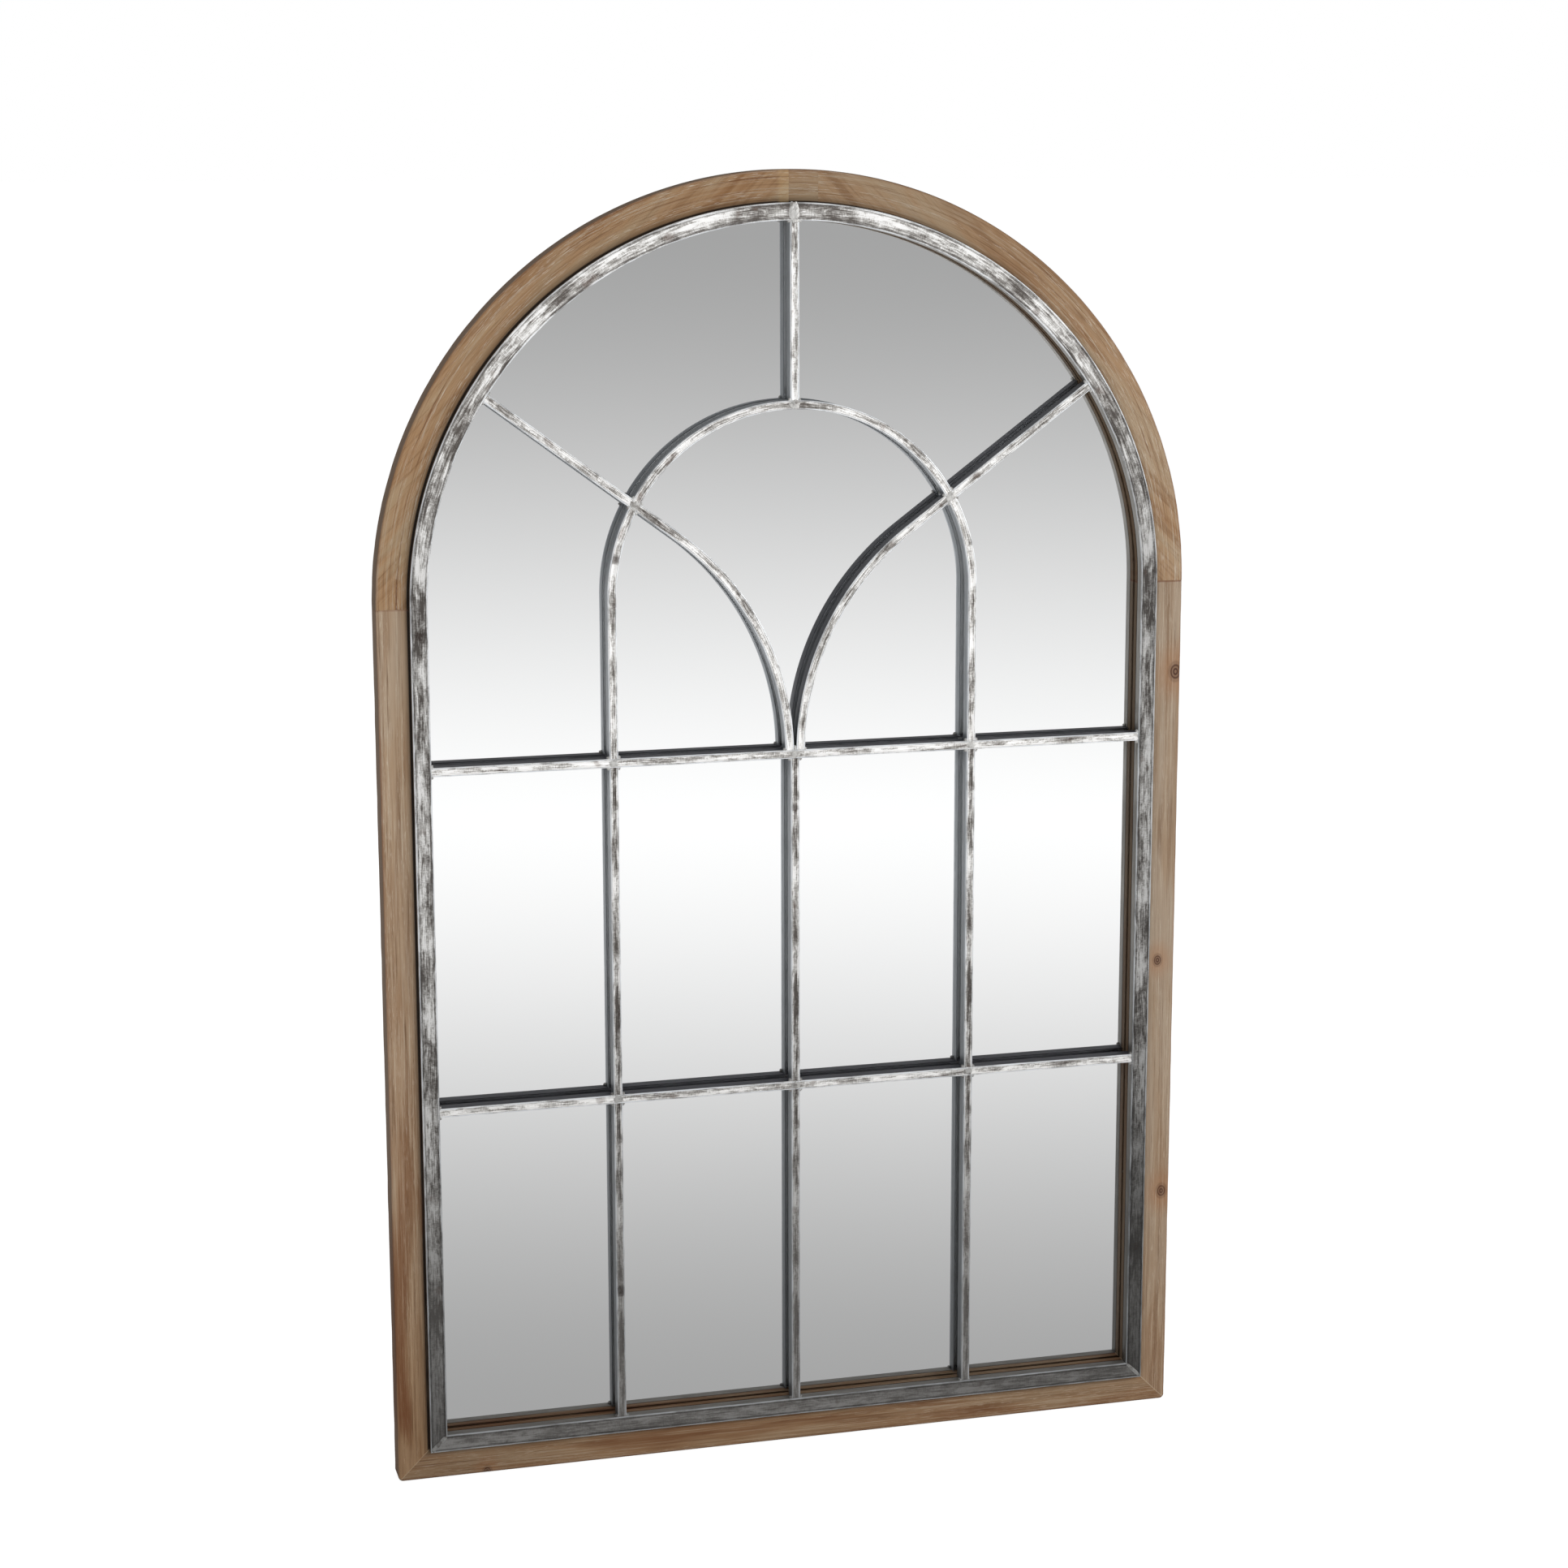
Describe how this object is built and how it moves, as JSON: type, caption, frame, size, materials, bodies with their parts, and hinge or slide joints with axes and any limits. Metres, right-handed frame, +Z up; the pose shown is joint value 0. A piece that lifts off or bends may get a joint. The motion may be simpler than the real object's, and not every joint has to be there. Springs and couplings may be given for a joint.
{
  "type": "wall mirror",
  "caption": "Arched window wall mirror: mitred wood frame with a round head, steel band and welded window-pane grille over the glass, hanging rings on the back.",
  "frame": {"origin": "centre of the frame's bottom edge, half way through the wood's thickness", "axes": "+Z up, +X to the right of someone who looks at the mirror, -Y out of the mirror's face towards the viewer"},
  "size_m": [0.762, 0.0397, 1.198],
  "materials": {
    "whitewashed_pine": "matt, brown stain with pale whitewash in the grain",
    "band_steel": "brushed antique silver with worn bright edges",
    "bar_steel": "brushed antique silver with worn bright edges",
    "weld_metal": "dressed bright weld metal",
    "mirror_glass": "clear silvered glass",
    "hardboard": "smooth brown hardboard",
    "beech_tongues": "plain, unseen",
    "zinc_hardware": "zinc plated",
    "black_rubber": "matt"
  },
  "bodies": {
    "mirror": {"left_stile": "whitewashed_pine", "right_stile": "whitewashed_pine", "bottom_rail": "whitewashed_pine", "left_arch": "whitewashed_pine", "crown_key": "whitewashed_pine", "right_arch": "whitewashed_pine", "left_side_band": "band_steel", "right_side_band": "band_steel", "bottom_band": "band_steel", "left_arch_band": "band_steel", "right_arch_band": "band_steel", "upper_crossbar": "bar_steel", "lower_crossbar": "bar_steel", "inner_arch": "bar_steel", "crown_bar": "bar_steel", "left_ray": "bar_steel", "right_ray": "bar_steel", "left_fork": "bar_steel", "right_fork": "bar_steel", "left_leg": "bar_steel", "right_leg": "bar_steel", "left_middle_bar": "bar_steel", "centre_middle_bar": "bar_steel", "right_middle_bar": "bar_steel", "left_lower_bar": "bar_steel", "centre_lower_bar": "bar_steel", "right_lower_bar": "bar_steel", "crossing_welds": "weld_metal", "tracery_welds": "weld_metal", "bar_end_welds": "weld_metal", "band_welds": "weld_metal", "mitre_tongues": "beech_tongues", "spring_tongues": "beech_tongues", "crown_tongue": "beech_tongues", "mirror_glass": "mirror_glass", "backing_board": "hardboard", "retaining_points": "zinc_hardware", "fixing_tabs": "band_steel", "fixing_screws": "zinc_hardware", "hanger_straps": "zinc_hardware", "hanger_screws": "zinc_hardware", "wall_bumpers": "black_rubber"},
    "left_ring": {"left_hanger_ring": "zinc_hardware"},
    "right_ring": {"right_hanger_ring": "zinc_hardware"}
  },
  "joints": [
    {"name": "left_ring_swing", "type": "hinge", "parent": "mirror", "child": "left_ring", "pos_m": [-0.3625, 0.01458, 0.73], "axis": [-1, 0, 0], "range_deg": [0, 178.5]},
    {"name": "right_ring_swing", "type": "hinge", "parent": "mirror", "child": "right_ring", "pos_m": [0.3625, 0.01458, 0.73], "axis": [-1, 0, 0], "range_deg": [0, 178.5]}
  ]
}
